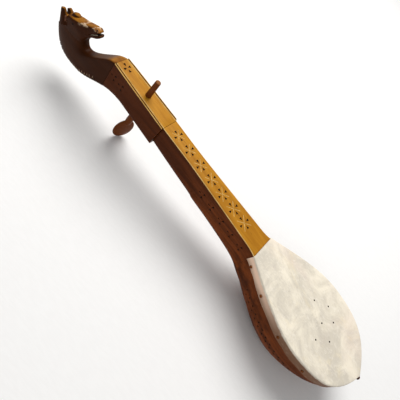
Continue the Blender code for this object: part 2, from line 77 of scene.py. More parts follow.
# Bowl: outline and depth, each as two curves
NECK_END_HALF = 24.6
BOWL_HALF = 72.4
BOWL_WIDEST_Y = -140.0
TAIL_Y = -247.0
SHOULDER_PULLS = ((47.5, -50.0), (BOWL_HALF, -95.0))
TAIL_PULLS = ((BOWL_HALF, -197.0), (58.5, -226.5))
NECK_END_DEPTH = 55.5
BOWL_DEPTH = 86.0
BOWL_DEEPEST_Y = -123.0
TAIL_DEPTH = 9.5
BACK_PULLS = ((-34.0, 61.0), (-80.0, BOWL_DEPTH))
STERN_PULLS = ((-184.0, BOWL_DEPTH), (-218.0, 26.0))
BOWL_SQUARENESS = ((0.0, 8.0), (-22.0, 4.4), (-60.0, 3.2), (-150.0, 2.7), (-248.0, 2.2))
RIM_BAND, BAND_SHARE = 20.0, 0.62  # the upright strip under the rim, and its share of a shallow bowl
WALL = 7.5
CAVITY_TOP_Y, CAVITY_TAIL_Y, CAVITY_STEPS = -30.0, -229.0, 23
CAVITY_UPRIGHT = 0.8  # of the bowl's own upright strip
BOWL_CHIPS, BOWL_CHIP_PITCH = 12, 11.5
BOWL_CHIP_FIRST, BOWL_CHIP_ROW = (-38.0, -39.0), (5.5, 6.5)  # as (Y, Z), and the steps to the next row

# Skin, pins and tail button
SKIN_THICK = 1.1
SKIN_OUT = GAP + SKIN_THICK  # from the wood to the skin's outer face
SKIN_MIDDLE_Y = -128.0
SAG = 0.5
FOLD = 2.0
TOP_SHARES = (0.06, 0.14, 0.24, 0.34, 0.44, 0.54, 0.63, 0.72, 0.80, 0.87, 0.93, 0.97)
FOLD_ROWS = ((0.35, 0.0), (0.65, -0.25), (0.88, -0.9), (1.0, -FOLD))  # share of the way out, drop
SKIRT_ROWS = 7
SKIRT_CLEAR = 0.4
EDGE_POINTS = 16  # of the skin, between the neck's two edges
SKIRT = ((0.0, 14.0), (-50.0, 17.0), (-110.0, 16.3), (-247.0, 17.0))
HOLES = ((18.9, -116.7), (35.2, -142.2), (23.1, -164.0), (-7.5, -174.5), (-26.9, -153.3), (3.0, -147.8))
PIN_Y = (-11.0, -51.0, -108.5, -168.0)
PIN_Z = -11.2
BUTTON_Z = -5.0

# Neck and head block: (Y, half width, depth)
NECK = (
    (0.0, 24.6, 55.5), (14.0, 21.6, 53.0), (40.0, 20.3, 50.0), (85.0, 18.2, 48.4),
    (122.0, 16.6, 48.6), (132.0, 16.2, 46.6), (165.0, 15.1, 45.6), (205.0, 14.9, 42.6),
    (229.2, 15.0, 40.0),
)
BLOCK = (
    (229.5, 18.4, 47.5), (298.0, 16.6, 46.0), (312.0, 16.2, 46.5), (323.0, 15.8, 48.5),
    (335.0, 15.2, 52.5), (345.7, 14.6, 58.0),
)
CORNER, UPRIGHT = 9.0, 2.0  # how square their sections are
CUT_CORNER, CUT_CORNER_OUT = 3.2, 0.8
PADDLE_TURN = -29.0
MOTIF_PITCH, MOTIF_FIRST, MOTIFS = 27.1, 208.5, 7
NECK_TREFOILS, NECK_TREFOIL_Z = (118.0, 95.0, 69.5, 45.5, 21.5), -19.5
BLOCK_TREFOILS, BLOCK_TREFOIL_Z = (336.0, 318.0), -20.0
CHIP, SIDE_CHIP, CHIP_DEEP = 4.5, 3.8, 1.7
CHIP_WIDE = 0.72  # of its length
ABOVE = 0.4  # how far a cutter's flat end stands clear of the wood

# Horse, both tables as (front Y, Z, back Y, Z, half width): the neck, then the face
CREST = (
    (346.0, 0.0, 346.0, -58.0, 14.6), (357.0, -7.0, 352.0, -61.5, 14.6),
    (369.0, -19.5, 361.0, -67.5, 14.6), (381.0, -33.0, 374.0, -76.5, 14.4),
    (392.0, -43.0, 391.0, -86.5, 14.0), (400.5, -47.5, 408.0, -91.5, 13.4),
    (406.5, -45.5, 426.0, -94.0, 12.8), (410.5, -38.0, 442.0, -91.5, 12.2),
    (413.0, -31.0, 453.0, -84.0, 11.6), (420.0, -27.0, 461.0, -72.5, 11.0),
    (431.0, -25.0, 468.0, -58.0, 9.8),
)
CREST_SQUARE = (9.0, 8.0, 7.0, 6.0, 4.6, 3.6, 3.0, 2.8, 2.7, 2.6, 2.4)
FACE = (
    (466.0, -50.0, 436.0, -66.0, 8.4), (460.5, -37.0, 424.0, -55.0, 10.4),
    (450.5, -24.5, 413.5, -41.0, 11.4), (439.5, -18.5, 410.5, -30.0, 11.4),
    (427.0, -12.0, 407.0, -23.0, 10.0), (415.0, -4.5, 401.5, -16.5, 8.6),
    (405.0, 1.0, 395.5, -11.5, 7.8), (398.8, 2.2, 392.0, -7.0, 6.6),
    (396.2, 1.0, 391.2, -4.0, 4.4),
)
EARS = (((-6.8, 452.5, -44.5), (-6.8, 465.8, -24.4)), ((5.0, 451.0, -42.0), (5.0, 464.6, -28.4)))
EAR_SIZE, EAR_TOP, EAR_HOLLOW = (7.8, 10.4), 0.36, (5.2, 4.4)
EAR_FRONT = (0.0, -0.70, 0.71)
FORELOCK, FORELOCK_SIZE, FORELOCK_TURN = (0.5, 444.5, -20.0), (5.6, 7.6, 4.2), -30.0
BROWS = ((9.4, 436.5, -26.5), (2.4, 4.6, 3.4))  # these four as (place, size) of the right one
MUZZLE = ((5.6, 401.5, -2.0), (2.8, 3.6, 3.4))
EYES = ((11.6, 437.0, -25.6), (1.4, 2.6, 1.6))
NOSTRILS = ((5.0, 400.2, 2.0), (1.2, 2.0, 1.4))
MOUTH_CORNER, MOUTH_LIPS = Vector((0, 409.0, -17.0)), Vector((0, 395.0, -1.9))
MOUTH_LONG, MOUTH_HALF_ANGLE = 30.0, 4.8
NOTCHES = 17
CORNER_SHARE = 0.80  # how far out the mane's corner cuts lie


# ---------------------------------------------------------------- curves and tables

def bezier(a, b, c, d, count):
    found = []
    for i in range(count):
        t = i / (count - 1)
        u = 1 - t
        found.append(tuple(
            u ** 3 * p + 3 * u * u * t * q + 3 * u * t * t * r + t ** 3 * s
            for p, q, r, s in zip(a, b, c, d)
        ))
    return found


def value(table, y):
    """Straight-line reading of a table of (y, value), whichever way it runs."""
    rows = sorted(table)
    if y <= rows[0][0]:
        return rows[0][1]
    for (y0, v0), (y1, v1) in zip(rows, rows[1:]):
        if y <= y1:
            return v0 + (v1 - v0) * (y - y0) / (y1 - y0)
    return rows[-1][1]


def smooth_rows(rows, steps):
    """Rows of numbers with a rounded (Catmull-Rom) run between each pair."""
    found = []
    for i in range(len(rows) - 1):
        a = rows[max(i - 1, 0)]
        b, c = rows[i], rows[i + 1]
        d = rows[min(i + 2, len(rows) - 1)]
        for k in range(steps):
            t = k / steps
            found.append(tuple(
                0.5 * (2 * q + (r - p) * t + (2 * p - 5 * q + 4 * r - s) * t * t
                       + (3 * q - p - 3 * r + s) * t ** 3)
                for p, q, r, s in zip(a, b, c, d)
            ))
    found.append(tuple(rows[-1]))
    return found


def outline(count):
    """(Y, half width) of the bowl's rim from the neck to the tail."""
    widest = (BOWL_HALF, BOWL_WIDEST_Y)
    first = bezier((NECK_END_HALF, 0.0), *SHOULDER_PULLS, widest, count)
    last = bezier(widest, *TAIL_PULLS, (0.0, TAIL_Y), count)
    return [(y, w) for w, y in first[:-1] + last]


RIM = outline(44)


def back_line():
    deepest = (BOWL_DEEPEST_Y, BOWL_DEPTH)
    first = bezier((0.0, NECK_END_DEPTH), *BACK_PULLS, deepest, 40)
    last = bezier(deepest, *STERN_PULLS, (TAIL_Y, TAIL_DEPTH), 60)
    return first[:-1] + last


BACK_LINE = back_line()


def depth(y):
    return value(BACK_LINE, y)


def band(y):
    """Height of the upright strip under the rim, which the skirt covers."""
    return min(RIM_BAND, BAND_SHARE * depth(y))


def squareness(y):
    return value(BOWL_SQUARENESS, y)


def wobble(x, y, z, size, amount):
    return amount * noise.noise(Vector((x, y, z)) / size)


# ---------------------------------------------------------------- mesh helpers

def ring(y, half, deep, power, upright, count, top=0.0):
    """A section: straight down the side for `upright`, then round under the back."""
    points = [(half, y, top)]
    for i in range(count + 1):
        t = math.pi * i / count
        c, s = math.cos(t), math.sin(t)
        x = math.copysign(abs(c) ** (2 / power), c) * half
        points.append((x, y, -upright - (deep - upright) * abs(s) ** (2 / power)))
    points.append((-half, y, top))
    return points


def loft(rings):
    """Closed body through rings of the same count, capped at both ends."""
    bm = bmesh.new()
    rows = [[bm.verts.new(point) for point in points] for points in rings]
    for a, b in zip(rows, rows[1:]):
        for i in range(len(a)):
            j = (i + 1) % len(a)
            bm.faces.new((a[i], a[j], b[j], b[i]))
    bm.faces.new(rows[0])
    bm.faces.new(list(reversed(rows[-1])))
    bmesh.ops.recalc_face_normals(bm, faces=bm.faces)
    return bm


def make(name, bm, material):
    """The bmesh, in millimetres, as a piece in the instrument frame."""
    bmesh.ops.recalc_face_normals(bm, faces=bm.faces)
    mesh = bpy.data.meshes.new(name)
    bm.to_mesh(mesh)
    bm.free()
    obj = bpy.data.objects.new(name, mesh)
    bpy.context.scene.collection.objects.link(obj)
    mesh.materials.append(material)
    return obj


def settle(obj):
    """The modifiers' result becomes the mesh."""
    bpy.context.view_layer.update()
    graph = bpy.context.evaluated_depsgraph_get()
    mesh = bpy.data.meshes.new_from_object(obj.evaluated_get(graph))
    obj.modifiers.clear()
    obj.data = mesh
    return obj


def cut(obj, bm, material=None, operation="DIFFERENCE", crossing=False):
    """Cuts or joins the bmesh; new faces take its material. `crossing` is for a cutter that meets itself."""
    cutter = make("cutter", bm, material or obj.data.materials[0])
    modifier = obj.modifiers.new("cut", "BOOLEAN")
    modifier.operation = operation
    modifier.solver = "EXACT"
    modifier.use_self = crossing
    modifier.material_mode = "TRANSFER"
    modifier.object = cutter
    settle(obj)
    bpy.data.objects.remove(cutter)
    return obj


def joined(pieces):
    """Several small closed shapes as one bmesh."""
    whole = bmesh.new()
    for piece in pieces:
        mesh = bpy.data.meshes.new("part")
        piece.to_mesh(mesh)
        piece.free()
        whole.from_mesh(mesh)
        bpy.data.meshes.remove(mesh)
    return whole


def bevel(obj, width, segments, angle):
    modifier = obj.modifiers.new("bevel", "BEVEL")
    modifier.width = width
    modifier.segments = segments
    modifier.limit_method = "ANGLE"
    modifier.angle_limit = math.radians(angle)
    return settle(obj)


def melt(obj, voxel, factor, times):
    """One even surface over joined shapes, with the creases between them eased."""
    remesh = obj.modifiers.new("remesh", "REMESH")
    remesh.mode = "VOXEL"
    remesh.voxel_size = voxel
    settle(obj)
    ease = obj.modifiers.new("ease", "SMOOTH")
    ease.factor = factor
    ease.iterations = times
    settle(obj)


def finish_piece(obj, body, *nodes, angle=38):
    """Puts the piece in the row frame, smooths it by angle and ties it to its body."""
    obj.data.transform(PLACE)
    obj.data.update()
    obj.data.shade_smooth()
    obj.data.set_sharp_from_angle(angle=math.radians(angle))
    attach(obj, body)
    if nodes:
        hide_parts(*nodes)
    return obj


def box(x0, x1, y0, y1, z0, z1):
    bm = bmesh.new()
    bmesh.ops.create_cube(bm, size=1.0)
    for v in bm.verts:
        v.co = Vector((
            x1 if v.co.x > 0 else x0, y1 if v.co.y > 0 else y0, z1 if v.co.z > 0 else z0,
        ))
    return bm


def rod(radius0, radius1, start, end, count):
    """A round bar or cone from one point to another."""
    a, b = Vector(start), Vector(end)
    bm = bmesh.new()
    bmesh.ops.create_cone(
        bm, cap_ends=True, segments=count, radius1=radius0, radius2=radius1, depth=(b - a).length,
    )
    turn = (b - a).to_track_quat("Z", "Y").to_matrix().to_4x4()
    bmesh.ops.transform(bm, matrix=Matrix.Translation((a + b) / 2) @ turn, verts=bm.verts)
    return bm


def ball(centre, radii, turn=None, u=32, v=20):
    bm = bmesh.new()
    bmesh.ops.create_uvsphere(bm, u_segments=u, v_segments=v, radius=1.0)
    matrix = Matrix.Translation(centre) @ (turn or Matrix()) @ Matrix.Diagonal((*radii, 1.0))
    bmesh.ops.transform(bm, matrix=matrix, verts=bm.verts)
    return bm


def turned(profile, count):
    """A turned shape about Z from its (radius, height) profile."""
    bm = bmesh.new()
    verts = [bm.verts.new((r, 0, h)) for r, h in profile]
    edges = [bm.edges.new(pair) for pair in zip(verts, verts[1:])]
    bmesh.ops.spin(
        bm, geom=verts + edges, cent=(0, 0, 0), axis=(0, 0, 1), angle=2 * math.pi, steps=count,
    )
    bmesh.ops.remove_doubles(bm, verts=bm.verts, dist=0.01)
    return bm


def moved(bm, matrix):
    bmesh.ops.transform(bm, matrix=matrix, verts=bm.verts)
    return bm


def columns(x, y, z, origin):
    """The placing matrix with these axes."""
    return Matrix((
        (x[0], y[0], z[0], origin[0]), (x[1], y[1], z[1], origin[1]),
        (x[2], y[2], z[2], origin[2]), (0, 0, 0, 1),
    ))


def cone(segments, top, matrix):
    bm = bmesh.new()
    bmesh.ops.create_cone(
        bm, cap_ends=True, segments=segments, radius1=1.0, radius2=top, depth=1.0,
    )
    return moved(bm, matrix)


def leaf_cone(base, tip, front, wide, thick, top=0.3):
    """A flattened cone from a base to a tip, its flat side toward `front`."""
    a, b = Vector(base), Vector(tip)
    up = (b - a).normalized()
    side = Vector(front).cross(up).normalized()
    return cone(24, top, columns(side * wide, up.cross(side) * thick, b - a, (a + b) / 2))


def chip(centre, out, point, size=CHIP):
    """A three-sided pit: `out` is the surface's normal, `point` the way its long corner aims."""
    out, point = Vector(out).normalized(), Vector(point).normalized()
    middle = Vector(centre) + out * (ABOVE - CHIP_DEEP) / 2
    side = out.cross(point) * size * CHIP_WIDE
    return cone(3, 0.0, columns(side, point * size, -out * (CHIP_DEEP + ABOVE), middle))


def blade(a, b, inward, deep, above, half):
    """A three-sided bar along a line: its edge `deep` below the line, its flat back above it."""
    a, b, inward = Vector(a), Vector(b), Vector(inward).normalized()
    radius = (deep + above) / 1.5
    side = inward.cross((b - a).normalized()) * half / math.cos(math.radians(30))
    middle = (a + b) / 2 + inward * (deep - radius)
    return cone(3, 1.0, columns(side, inward * radius, b - a, middle))


def groove(a, b, half, deep=0.6):
    """A V-shaped line cut in the front face."""
    return blade(a, b, (0, 0, -1), deep, ABOVE, half * (deep + ABOVE) / deep)


# ---------------------------------------------------------------- materials

class Nodes:
    """Short names for building a material's node tree."""

    def __init__(self, name, roughness, specular):
        self.material = bpy.data.materials.new(name)
        self.material.use_nodes = True
        self.tree = self.material.node_tree
        self.shader = self.tree.nodes["Principled BSDF"]
        self.shader.inputs["Roughness"].default_value = roughness
        self.shader.inputs["Specular IOR Level"].default_value = specular
        self.place = self.tree.nodes.new("ShaderNodeTexCoord")

    def new(self, kind, **settings):
        node = self.tree.nodes.new("ShaderNode" + kind)
        for key, setting in settings.items():
            setattr(node, key, setting)
        return node

    def link(self, a, b):
        self.tree.links.new(a, b)

    def noise(self, scale, detail=4.0, roughness=0.5, stretch=(1, 1, 1), distortion=0.0):
        mapping = self.new("Mapping")
        mapping.inputs["Scale"].default_value = stretch
        self.link(self.place.outputs["Object"], mapping.inputs["Vector"])
        node = self.new("TexNoise")
        node.inputs["Scale"].default_value = scale
        node.inputs["Detail"].default_value = detail
        node.inputs["Roughness"].default_value = roughness
        node.inputs["Distortion"].default_value = distortion
        self.link(mapping.outputs["Vector"], node.inputs["Vector"])
        return node.outputs["Fac"]

    def steps(self, factor, low, high, to_low=0.0, to_high=1.0):
        """A smooth step from one value to another while the factor goes from low to high."""
        node = self.new("MapRange", interpolation_type="SMOOTHSTEP")
        ends = (("From Min", low), ("From Max", high), ("To Min", to_low), ("To Max", to_high))
        for key, number in ends:
            node.inputs[key].default_value = number
        self.link(factor, node.inputs["Value"])
        return node.outputs["Result"]

    def mix(self, factor, a, b):
        node = self.new("Mix", data_type="RGBA")
        if isinstance(factor, (int, float)):
            node.inputs[0].default_value = factor
        else:
            self.link(factor, node.inputs[0])
        for socket, colour in ((node.inputs[6], a), (node.inputs[7], b)):
            if isinstance(colour, tuple):
                socket.default_value = (*colour, 1.0)
            else:
                self.link(colour, socket)
        return node.outputs[2]

    def math(self, how, a, b):
        node = self.new("Math", operation=how)
        for socket, number in ((node.inputs[0], a), (node.inputs[1], b)):
            if isinstance(number, (int, float)):
                socket.default_value = number
            else:
                self.link(number, socket)
        return node.outputs[0]

    def product(self, *factors):
        whole = factors[0]
        for factor in factors[1:]:
            whole = self.math("MULTIPLY", whole, factor)
        return whole

    def facing(self, direction):
        """How far the surface faces a direction of the object, from -1 to 1."""
        node = self.new("VectorMath", operation="DOT_PRODUCT")
        node.inputs[1].default_value = direction
        self.link(self.place.outputs["Normal"], node.inputs[0])
        return node.outputs["Value"]

    def along(self, direction, start):
        """Distance of the surface from a point of the object, along a direction, in metres."""
        shift = self.new("VectorMath", operation="SUBTRACT")
        shift.inputs[1].default_value = start
        self.link(self.place.outputs["Object"], shift.inputs[0])
        node = self.new("VectorMath", operation="DOT_PRODUCT")
        node.inputs[1].default_value = direction
        self.link(shift.outputs["Vector"], node.inputs[0])
        return node.outputs["Value"]

    def bump(self, *layers):
        """Layers of (height, strength, distance in metres)."""
        normal = None
        for height, strength, distance in layers:
            node = self.new("Bump")
            node.inputs["Strength"].default_value = strength
            node.inputs["Distance"].default_value = distance
            self.link(height, node.inputs["Height"])
            if normal:
                self.link(normal, node.inputs["Normal"])
            normal = node.outputs["Normal"]
        self.link(normal, self.shader.inputs["Normal"])

    def colour(self, colour):
        self.link(colour, self.shader.inputs["Base Color"])

    def roughness(self, factor):
        self.link(factor, self.shader.inputs["Roughness"])


FRONT = tuple((TILT @ Vector((0, 0, 1))).normalized())
FACE_POINT = tuple(PLACE @ Vector((0, 0, 0)))
HEADWARD = tuple((TILT @ Vector((0, 1, 0))).normalized())


def throat(n, headward, forward):
    """1 on the horse's throat, which lies in shade; 0 on the ramp below it and on the face."""
    return n.product(
        n.steps(headward, 0.374, 0.390), n.steps(headward, 0.415, 0.425, 1.0, 0.0),
        n.steps(forward, -0.034, -0.026, 1.0, 0.0),
    )


def nose_painted_highlight(n, headward, forward):
    """1 on the nose's front between the eyes and the nostrils, where a highlight is painted."""
    return n.product(
        n.steps(n.noise(75.0, 3.0, 0.6), 0.47, 0.55), n.steps(n.facing(FRONT), 0.2, 0.6),
        n.steps(headward, 0.425, 0.432, 1.0, 0.0), n.steps(headward, 0.396, 0.402),
        n.steps(forward, -0.024, -0.018),
    )


def varnished(name, front, front_deep, side, side_deep, dull=0.42, head=False):
    """Varnish over maple: pale golden where it faces front, red-brown at the sides, partly stain and partly
    painted shade.
    """
    n = Nodes(name, dull, specular=0.05)
    streaks = n.noise(95.0, 5.0, 0.6, (1.0, 0.06, 1.0), 0.4)
    blotch = n.noise(17.0, 3.0, 0.55, (1.0, 0.45, 1.0), 0.6)
    pores = n.noise(520.0, 2.0, 0.5, (1.0, 0.10, 1.0))
    headward, forward = n.along(HEADWARD, FACE_POINT), n.along(FRONT, FACE_POINT)
    grain = n.mix(n.steps(streaks, 0.33, 0.70), front_deep, front)
    grain = n.mix(n.steps(blotch, 0.45, 0.75, 0.0, 0.55), grain, front_deep)
    edge = n.mix(n.steps(streaks, 0.30, 0.72), side_deep, side)
    edge = n.mix(n.steps(blotch, 0.42, 0.70, 0.0, 0.6), edge, side_deep)
    # Painted shade: the sides darken toward the head.
    edge = n.mix(n.steps(headward, 0.09, 0.20, 0.0, 0.75), edge, side_deep)
    # Front-facing faces take the golden colour, the rest the side colour; the split is partly stain and
    # partly painted shade.
    golden = n.steps(n.facing(FRONT), *((0.60, 0.86) if head else (0.42, 0.78)))
    if head:
        golden = n.product(golden, n.math("SUBTRACT", 1.0, throat(n, headward, forward)))
    wood = n.mix(golden, edge, grain)
    if head:
        # Painted highlight on the nose's front.
        wood = n.mix(nose_painted_highlight(n, headward, forward), wood, (0.62, 0.45, 0.30))
    flecks = n.steps(pores, 0.62, 0.72, 0.0, 0.35)
    n.colour(n.mix(flecks, wood, side_deep))
    n.roughness(n.steps(blotch, 0.3, 0.7, dull - 0.08, dull + 0.12))
    n.bump((streaks, 0.25, 0.0004), (pores, 0.2, 0.0002), (n.noise(60.0, 3.0), 0.25, 0.0006))
    return n.material


def bare(name, light, dark, rough=0.6):
    """Cut wood with no varnish on it; the same material also carries the painted shade of hollows and the
    painted highlights of cuts and edges.
    """
    n = Nodes(name, rough, specular=0.15)
    streaks = n.noise(260.0, 4.0, 0.6, (1.0, 0.2, 1.0))
    n.colour(n.mix(n.steps(streaks, 0.3, 0.7), dark, light))
    n.bump((streaks, 0.3, 0.0003))
    return n.material


def rawhide():
    """Dry stretched skin: cream, mottled grey and yellow, browner down the skirt, partly stain and partly
    painted shade.
    """
    n = Nodes("rawhide", 0.55, specular=0.15)
    clouds = n.noise(20.0, 7.0, 0.65, (1, 1, 1), 0.8)
    yellow = n.noise(21.0, 4.0, 0.6, (1.3, 0.7, 1), 1.2)
    fibres = n.noise(190.0, 6.0, 0.7, (1.0, 0.45, 1.0), 1.5)
    specks = n.noise(420.0, 2.0, 0.5)
    veins = n.noise(38.0, 3.0, 0.5, (1.0, 0.5, 1.0), 2.5)
    colour = n.mix(n.steps(clouds, 0.36, 0.66), (0.63, 0.58, 0.49), (0.88, 0.81, 0.67))
    colour = n.mix(n.steps(yellow, 0.52, 0.74, 0.0, 0.55), colour, (0.84, 0.72, 0.48))
    colour = n.mix(n.steps(fibres, 0.50, 0.72, 0.0, 0.50), colour, (0.96, 0.90, 0.80))
    colour = n.mix(n.steps(fibres, 0.28, 0.46, 0.30, 0.0), colour, (0.62, 0.53, 0.40))
    colour = n.mix(n.steps(veins, 0.60, 0.72, 0.0, 0.30), colour, (0.56, 0.50, 0.45))
    blush = n.noise(9.0, 3.0, 0.5, (1, 1, 1), 0.5)
    colour = n.mix(n.steps(blush, 0.55, 0.75, 0.0, 0.35), colour, (0.80, 0.66, 0.58))
    colour = n.mix(n.steps(specks, 0.70, 0.78, 0.0, 0.45), colour, (0.42, 0.33, 0.22))
    down = n.along(FRONT, FACE_POINT)
    wander = n.math("ADD", down, n.math("MULTIPLY", n.math("SUBTRACT", clouds, 0.5), 0.008))
    # The skirt is brown, darkest toward the tail and toward its foot: partly stain and partly painted shade.
    tailward = n.steps(n.along(HEADWARD, FACE_POINT), -0.120, -0.020, 1.0, 0.0)
    skirt = n.mix(tailward, (0.95, 0.68, 0.51), (0.19, 0.095, 0.05))
    skirt = n.mix(n.steps(wander, -0.017, -0.006, 0.65, 0.0), skirt, (0.17, 0.075, 0.035))
    skirt = n.mix(n.steps(fibres, 0.52, 0.75, 0.0, 0.25), skirt, (0.75, 0.56, 0.44))
    colour = n.mix(n.steps(wander, -0.0035, 0.0002, 1.0, 0.0), colour, skirt)
    n.colour(colour)
    n.roughness(n.steps(clouds, 0.3, 0.7, 0.62, 0.42))
    n.bump((clouds, 0.35, 0.0012), (fibres, 0.25, 0.0004), (specks, 0.15, 0.0002))
    return n.material


# Each varnished wood: facing front, its dark streaks, the sides, their dark streaks
VARNISH = varnished(
    "varnished_wood", (0.50, 0.225, 0.018), (0.35, 0.140, 0.009),
    (0.215, 0.050, 0.009), (0.060, 0.013, 0.002),
)
# The head's wood is darker than the neck's, most of all at the sides: painted shade.
HEAD_WOOD = varnished(
    "head_wood", (0.38, 0.160, 0.016), (0.20, 0.07, 0.009), (0.100, 0.027, 0.004), (0.035, 0.009, 0.002),
    head=True,
)
PEG_WOOD = varnished(
    "peg_wood", (0.34, 0.145, 0.045), (0.20, 0.075, 0.022), (0.23, 0.066, 0.014), (0.13, 0.034, 0.007),
    0.36,
)
DARK_WOOD = varnished(
    "dark_wood", (0.10, 0.034, 0.010), (0.05, 0.016, 0.005), (0.06, 0.018, 0.006), (0.03, 0.009, 0.003),
    0.4,
)
# Near black: painted shade in the chip pits, the dark border lines, the bowl's hollow and the peg's hole.
HOLLOW_PAINTED_SHADE = bare("hollow_painted_shade", (0.030, 0.009, 0.003), (0.012, 0.004, 0.002), 0.8)
# Pale: the cut lines; on the front edges and the block's inner border line partly wear and partly a painted
# highlight.
PALE_LINE_AND_HIGHLIGHT = bare("scratched_line_and_highlight", (0.76, 0.53, 0.20), (0.52, 0.31, 0.08))
# Pale: painted highlights on the mane's cuts.
MANE_PAINTED_HIGHLIGHT = bare("mane_cut_painted_highlight", (0.34, 0.24, 0.16), (0.16, 0.09, 0.05), 0.45)
# Pale pink inside the ears: partly bare wood and partly painted highlight.
EAR_PINK = bare("ear_inside", (0.72, 0.44, 0.31), (0.48, 0.25, 0.15), 0.5)
# Near black: painted shade inside the mouth, the eye and nostril pits and the skin's holes.
PIT_PAINTED_SHADE = bare("mouth_and_pits_painted_shade", (0.05, 0.02, 0.012), (0.02, 0.008, 0.005), 0.7)
TEETH = bare("teeth", (0.80, 0.70, 0.56), (0.62, 0.50, 0.36), 0.45)
RAWHIDE = rawhide()


# ---------------------------------------------------------------- the wooden pieces

def crossed_lines(y, across, along):
    return [
        groove((-across, y - along * 1.1, 0), (across, y + along * 1.1, 0), 0.62),
        groove((-across, y + along * 1.1, 0), (across, y - along * 1.1, 0), 0.62, 0.5),
    ]


def four_chips(y, across, along):
    """Chips in the four corners of a crossing, each aimed at the middle."""
    return [
        chip((dx * across * 1.02, y + dy * along * 0.95, 0), (0, 0, 1), (-dx, -dy, 0))
        for dx, dy in ((1, 0), (-1, 0), (0, 1), (0, -1))
    ]


def worn_edges(obj):
    """Eases the two long front edges and paints them pale, partly rubbed varnish and partly a painted
    highlight; eases the rest less.
    """
    obj.data.materials.append(PALE_LINE_AND_HIGHLIGHT)
    bm = bmesh.new()
    bm.from_mesh(obj.data)
    front = [
        e for e in bm.edges
        if min(v.co.z for v in e.verts) > -0.01 and abs(e.verts[0].co.y - e.verts[1].co.y) > 1.0
        and e.calc_face_angle(0.0) > 0.8
    ]
    bmesh.ops.bevel(bm, geom=front, offset=0.9, segments=2, affect="EDGES", profile=0.5, material=1)
    bm.to_mesh(obj.data)
    bm.free()
    return bevel(obj, 0.45, 2, 50)


def trefoil(x, y, z, side):
    """Three chips on a side face."""
    return [
        chip((x, y + dy, z + dz), (side, 0, 0), (0, -dy, -dz), SIDE_CHIP)
        for dy, dz in ((5.0, 0.6), (-2.6, 4.6), (-2.6, -4.0))
    ]


def half_at(table, y):
    """Half width of the neck or of the block there."""
    return value([row[:2] for row in table], y)


def side_trefoils(table, places, z):
    return [
        piece
        for y in places
        for side in (-1, 1)
        for piece in trefoil(side * half_at(table, y), y, z, side)
    ]


def squared(name, table):
    """The neck or the block, before it is cut."""
    rings = [ring(y, half, deep, CORNER, UPRIGHT, 22) for y, half, deep in smooth_rows(table, 4)]
    return make(name, loft(rings), VARNISH)


def make_neck():
    neck = squared("neck_wood", NECK)
    worn_edges(neck)
    lines, chips = [], []
    for k in range(MOTIFS):
        y, across, along = MOTIF_FIRST - MOTIF_PITCH * k, 6.6 + 0.35 * k, 7.4 + 0.25 * k
        lines += crossed_lines(y, across, along)
        chips += four_chips(y, across, along)
    chips += side_trefoils(NECK, NECK_TREFOILS, NECK_TREFOIL_Z)
    cut(neck, joined(lines), PALE_LINE_AND_HIGHLIGHT, crossing=True)
    cut(neck, joined(chips), HOLLOW_PAINTED_SHADE)
    return finish_piece(neck, "instrument", "neck")


def make_block():
    block = squared("peg_block_wood", BLOCK)
    low, high = BLOCK[0], BLOCK[-1]
    place = Matrix.Translation((low[1] + CUT_CORNER_OUT, low[0] - CUT_CORNER_OUT, 0))
    corner = box(-CUT_CORNER, CUT_CORNER, -CUT_CORNER, CUT_CORNER, -60, 5)
    cut(block, moved(corner, place @ Matrix.Rotation(math.radians(45), 4, "Z")))
    worn_edges(block)
    # The block's border: a dark line of painted shade and a pale line, partly pale cut wood and partly
    # painted highlight.
    for inset, half, material in ((2.1, 0.8, HOLLOW_PAINTED_SHADE), (4.3, 0.9, PALE_LINE_AND_HIGHLIGHT)):
        lines = [
            groove(
                (side * (low[1] - inset), low[0] - 1, 0), (side * (high[1] - inset), high[0] + 1, 0),
                half, 0.8,
            )
            for side in (-1, 1)
        ]
        cut(block, joined(lines), material)
    chips = four_chips(333.0, 4.6, 6.6)
    chips += side_trefoils(BLOCK, BLOCK_TREFOILS, BLOCK_TREFOIL_Z)
    cut(block, joined(chips), HOLLOW_PAINTED_SHADE)
    cut(block, rod(6.0, 4.8, (0, PEG_Y, -60.0), (0, PEG_Y, 5.0), 40), HOLLOW_PAINTED_SHADE)
    return finish_piece(block, "instrument", "peg_block")


def make_bowl():
    rings = [ring(y, max(w, 1.2), depth(y), squareness(y), band(y), 44) for y, w in RIM if w > 1.0]
    bowl = make("bowl_wood", loft(rings), VARNISH)
    inside = []
    for i in range(CAVITY_STEPS + 1):
        y = CAVITY_TOP_Y + (CAVITY_TAIL_Y - CAVITY_TOP_Y) * i / CAVITY_STEPS
        half, deep = value(RIM, y) - WALL, depth(y) - WALL
        inside.append(ring(y, half, deep, squareness(y), band(y) * CAVITY_UPRIGHT, 24, top=2.0))
    cut(bowl, loft(inside), HOLLOW_PAINTED_SHADE)
    (first_y, first_z), (down_y, down_z) = BOWL_CHIP_FIRST, BOWL_CHIP_ROW
    chips = [
        bowl_chip(side, first_y - i * BOWL_CHIP_PITCH - row * down_y, first_z - row * down_z)
        for side in (-1, 1)
        for row in range(2)
        for i in range(BOWL_CHIPS)
    ]
    cut(bowl, joined(chips), HOLLOW_PAINTED_SHADE)
    return finish_piece(bowl, "instrument", "bowl", angle=30)


def bowl_chip(side, y, z):
    """A chip where the bowl's side is at this height."""
    power, up = squareness(y), band(y)
    share = min((-z - up) / (depth(y) - up), 1.0)
    x = side * value(RIM, y) * (1 - share ** power) ** (1 / power)
    lean = value(RIM, y + 1) - value(RIM, y - 1)
    return chip((x, y, z), (side, -lean / 2, -0.12), (0, 1, 0), SIDE_CHIP)


